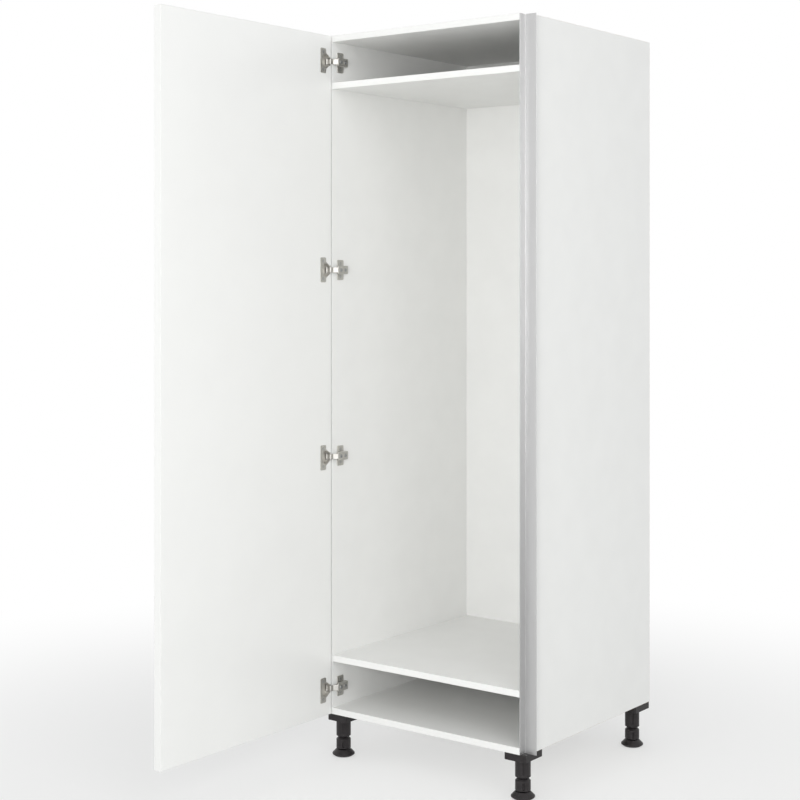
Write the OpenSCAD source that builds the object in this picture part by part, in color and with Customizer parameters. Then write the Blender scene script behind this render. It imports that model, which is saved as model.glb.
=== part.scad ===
// Tall fridge housing unit: board carcass with one full-height door on concealed hinges,
// a recessed vertical grip profile at the front right corner and four adjustable feet.
// Frame: +X to the right, +Y to the back, +Z up, in millimetres. Drawn with the door 90 degrees open.

/* [Carcass] */
// Width over the outer faces of the side panels
carcass_w = 600; // [500:1:700]
// Height of the side panels
carcass_h = 1728; // [1500:1:2100]
// Depth from the front edges to the rear edges
carcass_d = 598; // [520:1:640]
// Thickness of every carcass board
panel_t = 16; // [15:0.5:19]
// Clear height of the bay under the fridge niche
lower_bay_h = 118; // [95:1:200]
// Clear height of the bay over the fridge niche
upper_bay_h = 104; // [80:1:200]
// Thickness of the back panel
back_t = 4; // [3:0.5:6]
// Width of the rebates in the rear edges that the back panel lies in
back_rebate = 6; // [4:0.5:7]
// Thickness of the edge bands on the boards and the door
band_t = 1; // [0.6:0.2:1.4]

/* [Door] */
// Width of the door, over its edge bands
door_w = 593; // [490:1:596]
// Thickness of the door
door_t = 22; // [19:0.5:25]
// Set-back of the door from the top and bottom ends of the side panels
door_reveal = 1.5; // [1:0.5:4]
// How far the closed door covers the front edge of the left side panel
door_overlay = 15; // [14:0.5:16]
// Gap between the closed door and the carcass front
door_shut_gap = 2.5; // [2.5:0.1:3.5]
// Distance of the hinge edge in front of the carcass when the door stands open
door_open_gap = 5; // [4.8:0.1:5.6]

/* [Hinges] */
// Height of the lowest hinge above the underside of the side panels
hinge_low = 67; // [64:1:78]
// Height of the second hinge above the underside of the side panels
hinge_mid_low = 656; // [500:1:800]
// Height of the third hinge above the underside of the side panels
hinge_mid_high = 1131; // [950:1:1300]
// Distance of the top hinge below the top end of the side panels
hinge_top = 67; // [64:1:76]
// Bore in the door for the hinge cup
cup_d = 35; // [35:0.5:36]
// Distance of the cup centre from the hinge edge of the door
cup_edge = 21.5; // [21.5:0.1:22.5]
// Depth of the hinge cup
cup_depth = 13; // [13:0.1:14]
// Height of the mounting wings of the cup
wing_l = 63; // [62:0.5:72]
// Depth of the mounting wings of the cup
wing_w = 22; // [22:0.5:26]
// Distance of the wing centre line from the cup centre
wing_offset = 10; // [9:0.1:10]
// Spacing of the two cup screws
cup_screw_pitch = 45; // [42:0.5:52]
// Diameter of the hinge pin
pin_d = 3; // [2.6:0.1:3.2]
// Height of the hinge arm
arm_h = 21; // [20:0.5:24]
// Rear end of the hinge arm, from the carcass front
arm_back = 45; // [44:0.5:62]
// Distance of the plate screw line from the carcass front
plate_line = 30; // [30:0.5:37]
// Depth of the wings of the mounting plate
plate_w = 24; // [22:0.5:30]
// Height of the mounting plate over its wings
plate_l = 51; // [50:0.5:60]
// Spacing of the two plate screws
plate_screw_pitch = 32; // [30:0.5:38]

/* [Grip profile] */
// Depth of the finger recess
grip_recess = 23; // [20:0.5:30]
// Width of the profile's leg across the front, from the inner face of the right side panel
grip_reach = 33; // [24:0.5:40]
// Wall thickness of the grip profile
grip_t = 1.6; // [1.2:0.1:2]
// Depth of the fin that is pressed into the side panel's edge
grip_fin = 8; // [6:0.5:12]

/* [Feet] */
// Height of the feet as drawn, from the floor to the carcass
foot_h = 110; // [109:1:130]
// Distance of the foot centres from the outer faces of the side panels
foot_side = 27; // [27:1:60]
// Distance of the front foot centres from the carcass front
foot_front = 32; // [31:1:60]
// Distance of the rear foot centres from the rear edges
foot_rear = 45; // [45:1:60]
// Width of the foot sockets, from side to side
socket_w = 60; // [58:1:64]
// Depth of the foot sockets, from front to back
socket_l = 75; // [66:1:76]
// Height of the foot sockets
socket_h = 17; // [16:0.5:20]
// Diameter of the foot sleeve and of the spindle collar
sleeve_d = 37; // [34:0.5:40]
// Height of the foot sleeve
sleeve_h = 41.5; // [38:0.5:42]
// Height of the spindle collar
collar_h = 27.5; // [24:0.5:28]
// Gap between the sleeve and the collar as drawn
collar_gap = 4; // [3:0.5:4.5]
// Diameter of the base disc
disc_d = 57; // [50:1:66]
// Height of the base disc
disc_h = 17; // [14:0.5:18]
// Diameter of the threaded stem
stem_d = 20; // [18:0.5:22]

/* [Fittings] */
// Distance of the front cams from the carcass front
cam_front = 96; // [90:1:140]
// Distance of the rear cams from the rear edges
cam_rear = 128; // [115:1:160]
// Spacing between a cam and its dowel
fitting_pitch = 32; // [24:1:32]
// Distance of the cam centres from the board ends
cam_reach = 34; // [24:0.5:36]
// Diameter of the cam housings
cam_d = 15; // [14:0.5:16]
// Height of the cam housings
cam_h = 12.5; // [12:0.1:13.5]
// Diameter of the dowels
dowel_d = 8; // [6:0.5:8]
// Length of the dowels
dowel_l = 30; // [26:0.5:34]
// Depth of the blind holes in the inner faces of the side panels
side_bore = 11; // [9:0.5:12]
// Distance between the two wall angles
wall_angle_pitch = 400; // [300:5:440]
// Width and leg length of a wall angle
wall_angle_w = 25; // [20:1:32]
// Sheet thickness of a wall angle
wall_angle_t = 2; // [1.5:0.1:3]
// Diameter of the wall screw hole
wall_hole_d = 6; // [5:0.5:8]

/* [Hidden] */
$fn = 48;
// Clearance of a hand-pushed fit, on the radius, and of a shaft that turns or slides
fit_play = 0.05;
// Clearance between boards and their rebates or pockets
board_play = 0.2;

z_under = foot_h;
z_lower = z_under + panel_t + lower_bay_h;
z_lid = z_under + carcass_h - panel_t;
z_upper = z_lid - upper_bay_h - panel_t;
z_end = z_under + carcass_h;
x_left = -carcass_w / 2 + panel_t;
x_right = carcass_w / 2 - panel_t;
board_l = x_right - x_left;
y_back = carcass_d - back_t;

// Underside heights of the four boards, and which face holds the cams: 1 is the upper one
BOARDS = [[z_under, -1], [z_lower, -1], [z_upper, 1], [z_lid, 1]];
CAM_YS = [cam_front, carcass_d - cam_rear];
DOWEL_YS = [cam_front - fitting_pitch, carcass_d - cam_rear + fitting_pitch];

// Door limits with the door open, and the pivot that carries it from open to shut
door_y1 = -door_open_gap;
door_y0 = door_y1 - door_w;
door_z0 = z_under + door_reveal;
door_z1 = z_end - door_reveal;
pivot_s = (door_shut_gap + door_overlay - door_open_gap) / 2;
pivot_depth = (door_open_gap - door_shut_gap + door_overlay) / 2;
pivot_y = -door_open_gap - pivot_s;
HINGE_ZS = [z_under + hinge_low, z_under + hinge_mid_low, z_under + hinge_mid_high, z_end - hinge_top];

// Hinge details that follow the standard sizes of stamped and die-cast hinges
cup_wall = 1;
cup_rim = 1.1;
cup_play = 0.1;
cup_mouth_edge = 3;
wing_t = 1.2;
ear_z = 8;
ear_t = 3;
knuckle_wall = 1.3;
knuckle_r = pin_d / 2 + knuckle_wall;
sheet_t = 2.4;
neck_half = 7;
neck_gap = 2;
neck_x = sheet_t / 2 + neck_gap;
web_x = 13.2;
web_front = 8;
web_lap = 6;
saddle_top = web_x - sheet_t / 2;
saddle_end = 6;
saddle_back = 4;
plate_t = 2.5;
plate_corner = 3;
cheek_t = 1.5;
cheek_front = 12;
cheek_gap = 2;

// Depth and side adjusting screws, through the arm into the saddle
adjust_front = 12;
adjust_tail = 10;
adjust_r = 2.5;
adjust_l = 9;
adjust_head_r = 4.5;
adjust_rim_r = 4;
adjust_head_h = 2;
adjust_slot_w = 5;
adjust_slot_h = 1.4;
adjust_ys = [plate_line - adjust_front, arm_back - adjust_tail];

// Blade width of every cross recess, and how far a cut runs past the face it opens
slot_t = 1;
past = 1;

// Cam bolt: radius of its stud, shaft, neck and head, lengths of its flange and head, slot of its cam
cam_stud_r = 3;
cam_shaft_r = 2.5;
cam_neck_r = 4;
cam_head_r = 3.4;
cam_flange = 3;
cam_head_l = 4;
cam_slot_w = 7;
cam_slot_h = 2.5;

// Cap over a cam: rim, height, and the tongue that is pressed into the cam's slot
cap_rim = 1;
cap_h = 1.2;
cap_tongue_t = 0.9;
cap_tongue_w = 6;
cap_tongue_h = 2;

// Foot details: the side and the end each foot stands at, and the turn of its grooves to the front
FEET = [[-1, 0], [1, 0], [-1, 1], [1, 1]];
socket_wall = 3;
socket_top = 4;
socket_shift = max(0, socket_w / 2 - foot_side);
socket_front = 31;
rib_t = 2;
groove_turn = 37.5;
groove_w = 2.4;
groove_depth = 1.2;
groove_foot = 5.5;
groove_l = sleeve_h - groove_foot;
hub_wall = 2.5;
hub_d = sleeve_d + 2 * hub_wall;
plug_wall = 5;
plug_d = stem_d + 2 * plug_wall;
stem_in_plug = 1;
stem_top = z_under - socket_h + stem_in_plug;
stem_room = 7;
collar_z1 = z_under - socket_h - sleeve_h - collar_gap;
collar_z0 = collar_z1 - collar_h;
collar_bevel = 5;
collar_slot_w = 4;
collar_slot_depth = 3;
collar_slot_low = 3.5;
collar_slot_h = 15;
disc_bevel = 6;
disc_low = disc_h * 0.25;
disc_rim = disc_h * 0.15;
snap_d = 12;
snap_depth = 10;

// The frame's origin is on the floor, under the middle of the whole unit
x_low = min(x_left - door_t, foot_x(0) - disc_d / 2);
x_high = max(x_right + grip_reach, foot_x(1) + disc_d / 2);
mid_x = (x_low + x_high) / 2;
mid_y = (door_y0 + carcass_d) / 2;

function foot_x(i) = FEET[i][0] * (carcass_w / 2 - foot_side);
function foot_y(i) = FEET[i][1] == 0 ? foot_front : carcass_d - foot_rear;

// Moves what is drawn from the carcass front's centre line to the unit's own origin.
module placed() {
    translate([-mid_x, -mid_y, 0]) children();
}

// Cross recess of a screw head, cut downwards from z = 0.
module cross_slot(span, depth) {
    for (a = [0, 90]) rotate([0, 0, a])
        translate([-span / 2, -slot_t / 2, -depth]) cube([span, slot_t, depth + past]);
}

// Countersunk screw with its head face at z = 0 and its shank towards -Z.
module countersunk_screw(d, l, head_d) {
    head_h = (head_d - d) / 2;
    difference() {
        union() {
            translate([0, 0, -head_h]) cylinder(r1 = d / 2, r2 = head_d / 2, h = head_h);
            translate([0, 0, -l]) cylinder(d = d, h = l - head_h / 2);
        }
        cross_slot(head_d * 0.6, head_h * 0.7);
    }
}

// Room for a countersunk screw: its shank and its head, with a little play.
module countersunk_hole(d, l, head_d) {
    head_h = (head_d - d) / 2;
    translate([0, 0, -l - 0.5]) cylinder(r = d / 2 + fit_play, h = l + 1);
    translate([0, 0, -head_h]) cylinder(r1 = d / 2 + fit_play, r2 = head_d / 2 + fit_play, h = head_h);
}

// A strip of sheet of thickness t that follows the points of a plan polyline.
module strip(points, t) {
    for (i = [0 : len(points) - 2]) {
        a = points[i];
        v = points[i + 1] - a;
        translate(a) rotate(atan2(v.y, v.x)) translate([0, -t / 2]) square([norm(v), t]);
        translate(a) circle(d = t);
    }
    translate(points[len(points) - 1]) circle(d = t);
}

// Runs its children at each board end: origin in the middle of the end face, +X into the board.
module at_board_ends(ys) {
    for (b = BOARDS, y = ys) {
        translate([x_left, y, b[0] + panel_t / 2]) scale_cam_side(b[1]) children();
        translate([x_right, y, b[0] + panel_t / 2]) mirror([1, 0, 0]) scale_cam_side(b[1]) children();
    }
}

// Turns the cam side upwards or downwards.
module scale_cam_side(up) {
    if (up > 0) children();
    else mirror([0, 0, 1]) children();
}

// Holes in the side panels' inner faces, for dowels and cam bolts.
module side_bores() {
    at_board_ends(DOWEL_YS) rotate([0, 90, 0])
        translate([0, 0, -side_bore - board_play]) cylinder(d = dowel_d + 2 * fit_play, h = side_bore + 1);
    at_board_ends(CAM_YS) rotate([0, 90, 0])
        translate([0, 0, -side_bore - board_play]) cylinder(r = cam_stud_r + fit_play, h = side_bore + 1);
}

// Holes in a board: dowel holes and bolt holes in the ends, cam pockets in one face.
module board_bores() {
    at_board_ends(DOWEL_YS) rotate([0, 90, 0])
        translate([0, 0, -1]) cylinder(d = dowel_d + 2 * fit_play, h = dowel_l - side_bore + board_play + 1);
    at_board_ends(CAM_YS) {
        rotate([0, 90, 0]) translate([0, 0, -1]) cylinder(r = cam_neck_r, h = cam_reach + 1);
        translate([cam_reach, 0, panel_t / 2 - cam_h - board_play])
            cylinder(d = cam_d + 2 * fit_play, h = cam_h + board_play + 1);
    }
}

// One horizontal board between the side panels, from its front band to depth y1.
module board(z, y1) {
    translate([x_left, band_t, z]) cube([board_l, y1 - band_t, panel_t]);
}

// The rebate that the back panel lies in, cut in the sides and in the outer boards.
module back_rebate_cut() {
    translate([x_left - back_rebate, y_back, z_under - 1])
        cube([board_l + 2 * back_rebate, back_t + 1, carcass_h + 2]);
}
module back_rebate_in_boards() {
    translate([x_left - 1, y_back, z_under + panel_t - back_rebate])
        cube([board_l + 2, back_t + 1, carcass_h - 2 * panel_t + 2 * back_rebate]);
}

module side_panel_left() color("white") difference() {
    translate([-carcass_w / 2, band_t, z_under]) cube([panel_t, carcass_d - band_t, carcass_h]);
    back_rebate_cut();
    side_bores();
    hinge_plate_bores();
    socket_screw_bores();
}

module side_panel_right() color("white") difference() {
    translate([x_right, grip_recess, z_under]) cube([panel_t, carcass_d - grip_recess, carcass_h]);
    back_rebate_cut();
    side_bores();
    socket_screw_bores();
    translate([carcass_w / 2 - panel_t / 2 - grip_t / 2 - board_play / 2, grip_recess - 1, z_under - 1])
        cube([grip_t + board_play, grip_fin + board_play + 1, carcass_h + 2]);
}

module bottom_board() color("white") difference() {
    board(z_under, carcass_d);
    back_rebate_in_boards();
    board_bores();
    socket_screw_bores();
}

module niche_floor_board() color("white") difference() {
    board(z_lower, y_back);
    board_bores();
    back_screw_bores();
}

module niche_ceiling_board() color("white") difference() {
    board(z_upper, y_back);
    board_bores();
    back_screw_bores();
}

module top_board() color("white") difference() {
    board(z_lid, carcass_d);
    back_rebate_in_boards();
    board_bores();
    at_wall_angles() wall_angle_screw_spots() countersunk_hole(wall_screw_d, wall_screw_l, wall_screw_head);
}

module back_panel() color("white") difference() {
    translate([x_left - back_rebate + board_play, y_back, z_under + panel_t - back_rebate + board_play])
        cube([board_l + 2 * (back_rebate - board_play), back_t,
              carcass_h - 2 * panel_t + 2 * (back_rebate - board_play)]);
    back_screw_bores();
}

module side_edge_band() color("white")
    translate([-carcass_w / 2, 0, z_under]) cube([panel_t, band_t, carcass_h]);

module board_edge_bands() color("white")
    for (b = BOARDS) translate([x_left, 0, b[0]]) cube([board_l, band_t, panel_t]);

module board_dowels() color("burlywood")
    at_board_ends(DOWEL_YS) rotate([0, 90, 0])
        translate([0, 0, -side_bore]) cylinder(d = dowel_d, h = dowel_l);

// Stud in the side panel, shaft through the board's end and head in the middle of the cam.
module cam_bolts() color("silver")
    at_board_ends(CAM_YS) rotate([0, 90, 0]) {
        translate([0, 0, -side_bore]) cylinder(r = cam_stud_r, h = side_bore);
        cylinder(r = cam_neck_r - fit_play, h = cam_flange);
        cylinder(r = cam_shaft_r, h = cam_reach);
        translate([0, 0, cam_reach - cam_head_l / 2]) cylinder(r = cam_head_r, h = cam_head_l);
    }

module cam_housings() color("darkgray")
    at_board_ends(CAM_YS) difference() {
        translate([cam_reach, 0, panel_t / 2 - cam_h]) cylinder(d = cam_d, h = cam_h);
        rotate([0, 90, 0]) cylinder(r = cam_neck_r, h = cam_reach + cam_head_l);
        translate([cam_reach, 0, panel_t / 2]) cross_slot(cam_slot_w, cam_slot_h);
    }

module cam_caps() color("white")
    at_board_ends(CAM_YS) translate([cam_reach, 0, panel_t / 2]) {
        cylinder(d1 = cam_d + 2 * cap_rim, d2 = cam_d + cap_rim, h = cap_h);
        translate([-cap_tongue_t / 2, -cap_tongue_w / 2, -cap_tongue_h])
            cube([cap_tongue_t, cap_tongue_w, cap_tongue_h]);
    }

// Screws through the back panel into the rear edges of the two fixed boards of the niche.
back_screw_d = 3.5;
back_screw_l = 30;
back_screw_head = 7;
back_screw_inset = 80;
module at_back_screws() {
    for (z = [z_lower, z_upper], k = [-1, 0, 1])
        translate([k * (board_l / 2 - back_screw_inset), y_back + back_t, z + panel_t / 2])
            rotate([-90, 0, 0]) children();
}
module back_screw_bores() at_back_screws() countersunk_hole(back_screw_d, back_screw_l, back_screw_head);
module back_panel_screws() color("silver")
    at_back_screws() countersunk_screw(back_screw_d, back_screw_l, back_screw_head);

// Angles that hold the top to the wall: one leg on the top board, one leg flush with the rear edges.
wall_hole_up = 14;
wall_screw_d = 4;
wall_screw_l = 11;
wall_screw_head = 8;
module at_wall_angles() {
    for (k = [-1, 1]) translate([k * wall_angle_pitch / 2, carcass_d, z_end]) children();
}
module wall_angle_screw_spots() {
    for (k = [-1, 1])
        translate([k * wall_angle_w / 4, -wall_angle_w * 0.6, wall_angle_t]) children();
}
module wall_angles() color("silver") at_wall_angles() difference() {
    translate([-wall_angle_w / 2, -wall_angle_w, 0]) difference() {
        cube([wall_angle_w, wall_angle_w, wall_angle_w]);
        translate([-1, -wall_angle_t, wall_angle_t]) cube([wall_angle_w + 2, wall_angle_w, wall_angle_w]);
    }
    wall_angle_screw_spots() countersunk_hole(wall_screw_d, wall_screw_l, wall_screw_head);
    translate([0, 1, wall_hole_up]) rotate([90, 0, 0]) cylinder(d = wall_hole_d, h = wall_angle_t + 2);
}
module wall_angle_screws() color("silver")
    at_wall_angles() wall_angle_screw_spots() countersunk_screw(wall_screw_d, wall_screw_l, wall_screw_head);

// Aluminium angle for the fingers: one leg along the board ends, one across the side panel's edge.
module grip_profile() color("silver")
    translate([0, 0, z_under]) linear_extrude(carcass_h) {
        translate([x_right, 0]) square([grip_t, grip_recess]);
        translate([x_right, grip_recess - grip_t]) square([grip_reach, grip_t]);
        translate([carcass_w / 2 - panel_t / 2 - grip_t / 2, grip_recess - grip_t])
            square([grip_t, grip_t + grip_fin]);
    }

// Runs its children at each foot, with z = 0 at the carcass underside.
module at_feet(only = [0, 1, 2, 3]) {
    for (i = only) translate([foot_x(i), foot_y(i), z_under]) children();
}
socket_screw_d = 4;
socket_screw_head = 8;
socket_screw_inset = 8;
socket_screw_pitch = 44;
socket_screw_l = 16;
// Screws of a socket: at its inner or outer side (-1, 1) and before or behind the foot (-1, 1)
SOCKET_SCREWS = [[-1, -1], [-1, 1], [1, 1]];
module at_socket_screws() {
    for (i = [0 : 3], s = SOCKET_SCREWS)
        translate([foot_x(i) + FEET[i][0] * (s[0] * (socket_w / 2 - socket_screw_inset) - socket_shift),
                   foot_y(i) + s[1] * socket_screw_pitch / 2, z_under - socket_top])
            mirror([0, 0, 1]) children();
}
module socket_screw_bores()
    at_socket_screws() countersunk_hole(socket_screw_d, socket_screw_l, socket_screw_head);

// Plastic socket, flush with the side panel and hollow from below, with a hub for the sleeve.
module foot_sockets() color("dimgray") difference() {
    for (i = [0 : 3]) translate([foot_x(i), foot_y(i), z_under - socket_h]) {
        off = -FEET[i][0] * socket_shift;
        translate([off, 0, 0]) difference() {
            translate([-socket_w / 2, -socket_front, 0]) cube([socket_w, socket_l, socket_h]);
            translate([-socket_w / 2 + socket_wall, -socket_front + socket_wall, -1])
                cube([socket_w - 2 * socket_wall, socket_l - 2 * socket_wall, socket_h - socket_top + 1]);
        }
        cylinder(d = hub_d, h = socket_h);
        translate([off - socket_w / 2, -rib_t / 2, 0]) cube([socket_w, rib_t, socket_h]);
        translate([-rib_t / 2, -socket_front, 0]) cube([rib_t, socket_l, socket_h]);
    }
    at_feet() translate([0, 0, -socket_h - past])
        cylinder(d = plug_d + 2 * fit_play, h = socket_h - socket_top + 2 * past);
    socket_screw_bores();
}

module foot_socket_screws() color("silver")
    at_socket_screws() countersunk_screw(socket_screw_d, socket_screw_l, socket_screw_head);

// Sleeve with a plug in the socket, a blind bore for the stem and a moulding groove on its front.
module foot_sleeves() color("dimgray") at_feet() difference() {
    union() {
        translate([0, 0, -socket_h - sleeve_h]) cylinder(d = sleeve_d, h = sleeve_h);
        translate([0, 0, -socket_h - past])
            cylinder(d = plug_d, h = socket_h - socket_top + 2 * past - board_play);
    }
    translate([0, 0, -socket_h - sleeve_h - past])
        cylinder(d = stem_d + 2 * fit_play, h = past + sleeve_h + stem_room);
    rotate([0, 0, groove_turn])
        translate([-groove_w / 2, -sleeve_d / 2 - past, -socket_h - groove_l])
            cube([groove_w, past + groove_depth, groove_l]);
}

// Turning part of a foot: threaded stem, collar with a tool slot and a neck that snaps in the disc.
module foot_spindle(i) color("dimgray") translate([foot_x(i), foot_y(i), 0]) difference() {
    union() {
        translate([0, 0, collar_z1 - past]) cylinder(d = stem_d, h = stem_top - collar_z1 + past);
        translate([0, 0, collar_z1 - collar_bevel])
            cylinder(d1 = sleeve_d, d2 = sleeve_d - 2 * collar_bevel, h = collar_bevel);
        translate([0, 0, collar_z0]) cylinder(d = sleeve_d, h = collar_h - collar_bevel);
        translate([0, 0, disc_h - snap_depth])
            cylinder(d = snap_d, h = collar_z0 - disc_h + snap_depth + past);
    }
    for (a = [0 : 90 : 270]) rotate([0, 0, groove_turn + a])
        translate([-collar_slot_w / 2, -sleeve_d / 2 - past, collar_z0 + collar_slot_low])
            cube([collar_slot_w, past + collar_slot_depth, collar_slot_h]);
}

// Round base disc with a blind hole for the spindle's neck.
module foot_disc(i) color("dimgray") translate([foot_x(i), foot_y(i), 0]) difference() {
    union() {
        cylinder(d1 = disc_d - 2 * disc_bevel, d2 = disc_d, h = disc_low);
        translate([0, 0, disc_low]) cylinder(d = disc_d, h = disc_rim);
        translate([0, 0, disc_low + disc_rim])
            cylinder(d1 = disc_d, d2 = sleeve_d, h = disc_h - disc_low - disc_rim);
    }
    translate([0, 0, disc_h - snap_depth - fit_play])
        cylinder(d = snap_d + 2 * fit_play, h = snap_depth + past);
}

// Runs its children at each hinge, from the left side panel's inner front corner.
module at_hinges() {
    for (z = HINGE_ZS) translate([x_left, 0, z]) children();
}
plate_screw_d = 5;
plate_screw_head = 8;
module plate_screw_spots() {
    for (k = [-1, 1])
        translate([plate_t, plate_line, k * plate_screw_pitch / 2]) rotate([0, 90, 0]) children();
}
plate_screw_l = side_bore + plate_t;
module hinge_plate_bores()
    at_hinges() plate_screw_spots() countersunk_hole(plate_screw_d, plate_screw_l, plate_screw_head);

// Cross-shaped plate with a saddle that the arm is clamped to.
module hinge_plates() color("silver") at_hinges() difference() {
    union() {
        translate([0, plate_line - plate_w / 2, -plate_l / 2 + plate_corner])
            cube([plate_t, plate_w, plate_l - 2 * plate_corner]);
        translate([0, plate_line - plate_w / 2 + plate_corner, -plate_l / 2])
            cube([plate_t, plate_w - 2 * plate_corner, plate_l]);
        for (sy = [-1, 1], sz = [-1, 1])
            translate([0, plate_line + sy * (plate_w / 2 - plate_corner), sz * (plate_l / 2 - plate_corner)])
                rotate([0, 90, 0]) cylinder(r = plate_corner, h = plate_t);
        translate([0, adjust_ys[0] - saddle_end, -neck_half])
            cube([saddle_top, arm_back - saddle_back - adjust_ys[0] + saddle_end, 2 * neck_half]);
    }
    plate_screw_spots() countersunk_hole(plate_screw_d, plate_screw_l, plate_screw_head);
    adjusting_screw_spots() translate([0, 0, -adjust_l - past])
        cylinder(r = adjust_r + fit_play, h = adjust_l + 2 * past);
}

module hinge_plate_screws() color("silver")
    at_hinges() plate_screw_spots() countersunk_screw(plate_screw_d, plate_screw_l, plate_screw_head);

// Arm: knuckle on the pin, cranked neck, and a channel that covers the saddle.
crank_front = -1;
NECK_PATH = [
    [-pivot_depth, pivot_y], [neck_x, pivot_y], [neck_x, crank_front],
    [web_x, web_front], [web_x, web_front + web_lap]
];
module hinge_arms() color("silver") at_hinges() difference() {
    union() {
        translate([0, 0, -neck_half]) linear_extrude(2 * neck_half) strip(NECK_PATH, sheet_t);
        translate([-pivot_depth, pivot_y, -neck_half]) cylinder(r = knuckle_r, h = 2 * neck_half);
        translate([web_x - sheet_t / 2, web_front, -arm_h / 2]) cube([sheet_t, arm_back - web_front, arm_h]);
        for (k = [-1, 1])
            translate([neck_x + cheek_gap, cheek_front, k * (arm_h / 2 - cheek_t / 2) - cheek_t / 2])
                cube([web_x - neck_x - cheek_gap, arm_back - cheek_front, cheek_t]);
    }
    translate([-pivot_depth, pivot_y, -arm_h]) cylinder(r = pin_d / 2 + fit_play, h = 2 * arm_h);
    adjusting_screw_spots() translate([0, 0, -sheet_t - past])
        cylinder(r = adjust_r + fit_play, h = sheet_t + 2 * past);
}

// Runs its children at each adjusting screw, with z = 0 on the arm's outer face.
module adjusting_screw_spots() {
    for (y = adjust_ys) translate([web_x + sheet_t / 2, y, 0]) rotate([0, 90, 0]) children();
}
module hinge_adjusting_screws() color("silver") at_hinges() adjusting_screw_spots() difference() {
    union() {
        translate([0, 0, -adjust_l]) cylinder(r = adjust_r, h = adjust_l);
        cylinder(r1 = adjust_head_r, r2 = adjust_rim_r, h = adjust_head_h);
    }
    translate([0, 0, adjust_head_h]) cross_slot(adjust_slot_w, adjust_slot_h);
}

// Pins along the door's turning axis, held in the ears of the cups.
module hinge_pins() color("silver") at_hinges()
    translate([-pivot_depth, pivot_y, -ear_z - ear_t]) cylinder(d = pin_d, h = 2 * (ear_z + ear_t));

// Runs its children at each cup: +X out of the door's inner face, y = 0 on the door's hinge edge.
module at_cups() {
    for (z = HINGE_ZS) translate([x_left, door_y1, z]) children();
}
module cup_body(grow) {
    translate([-cup_depth - grow, -cup_edge, 0]) rotate([0, 90, 0])
        cylinder(r = cup_d / 2 - cup_play + grow, h = cup_depth + grow);
    translate([-cup_depth - grow, -cup_edge, -ear_z - ear_t - grow])
        cube([cup_depth + grow, cup_edge - cup_mouth_edge + cup_wall + grow, 2 * (ear_z + ear_t + grow)]);
}
module cup_cavity() {
    translate([-cup_depth + cup_wall, -cup_edge, 0]) rotate([0, 90, 0])
        cylinder(r = cup_d / 2 - cup_play - cup_rim, h = cup_depth + 2 * past);
    translate([-cup_depth + cup_wall, -cup_edge, -ear_z])
        cube([cup_depth + 2 * past, cup_edge - cup_mouth_edge, 2 * ear_z]);
}
cup_screw_d = 3.5;
cup_screw_l = 16;
cup_screw_head = 7;
module cup_screw_spots() {
    for (k = [-1, 1])
        translate([wing_t, -cup_edge - wing_offset, k * cup_screw_pitch / 2]) rotate([0, 90, 0]) children();
}
// Neck plate between the wings and the arm: half heights at the wings and at the arm.
plate_wide = 20;
plate_narrow = 10.5;
plate_clear = 7;
wing_near_y = -cup_edge - wing_offset + wing_w / 2;
neck_plate_l = -wing_near_y - plate_clear;
module hinge_cups() color("silver") at_cups() difference() {
    union() {
        cup_body(0);
        translate([0, -cup_edge - wing_offset - wing_w / 2, -wing_l / 2]) cube([wing_t, wing_w, wing_l]);
        translate([0, wing_near_y, 0]) rotate([0, 90, 0]) linear_extrude(wing_t) polygon([
            [-plate_wide, 0], [plate_wide, 0], [plate_narrow, neck_plate_l], [-plate_narrow, neck_plate_l]
        ]);
    }
    cup_cavity();
    translate([-pivot_depth, -pivot_s, -ear_z - ear_t - past])
        cylinder(r = pin_d / 2 + fit_play / 2, h = 2 * (ear_z + ear_t + past));
    cup_screw_spots() countersunk_hole(cup_screw_d, cup_screw_l, cup_screw_head);
}

module hinge_cup_screws() color("silver")
    at_cups() cup_screw_spots() countersunk_screw(cup_screw_d, cup_screw_l, cup_screw_head);

module door_panel() color("white") difference() {
    translate([x_left - door_t, door_y0 + band_t, door_z0 + band_t])
        cube([door_t, door_w - 2 * band_t, door_z1 - door_z0 - 2 * band_t]);
    at_cups() cup_body(board_play);
    at_cups() cup_screw_spots() countersunk_hole(cup_screw_d, cup_screw_l, cup_screw_head);
}

// Two upright bands over the full height, and two short ones between them.
module door_edge_bands() color("white") {
    for (y = [door_y0, door_y1 - band_t])
        translate([x_left - door_t, y, door_z0]) cube([door_t, band_t, door_z1 - door_z0]);
    for (z = [door_z0, door_z1 - band_t])
        translate([x_left - door_t, door_y0 + band_t + fit_play, z])
            cube([door_t, door_w - 2 * (band_t + fit_play), band_t]);
}

placed() side_panel_left();
placed() side_panel_right();
placed() bottom_board();
placed() niche_floor_board();
placed() niche_ceiling_board();
placed() top_board();
placed() back_panel();
placed() side_edge_band();
placed() board_edge_bands();
placed() board_dowels();
placed() cam_bolts();
placed() cam_housings();
placed() cam_caps();
placed() back_panel_screws();
placed() wall_angles();
placed() wall_angle_screws();
placed() grip_profile();
placed() foot_sockets();
placed() foot_socket_screws();
placed() foot_sleeves();
placed() foot_spindle(0);  // foot_spindle_front_left
placed() foot_spindle(1);  // foot_spindle_front_right
placed() foot_spindle(2);  // foot_spindle_rear_left
placed() foot_spindle(3);  // foot_spindle_rear_right
placed() foot_disc(0);  // foot_disc_front_left
placed() foot_disc(1);  // foot_disc_front_right
placed() foot_disc(2);  // foot_disc_rear_left
placed() foot_disc(3);  // foot_disc_rear_right
placed() hinge_plates();
placed() hinge_plate_screws();
placed() hinge_arms();
placed() hinge_adjusting_screws();
placed() hinge_pins();
placed() hinge_cups();
placed() hinge_cup_screws();
placed() door_panel();
placed() door_edge_bands();
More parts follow.
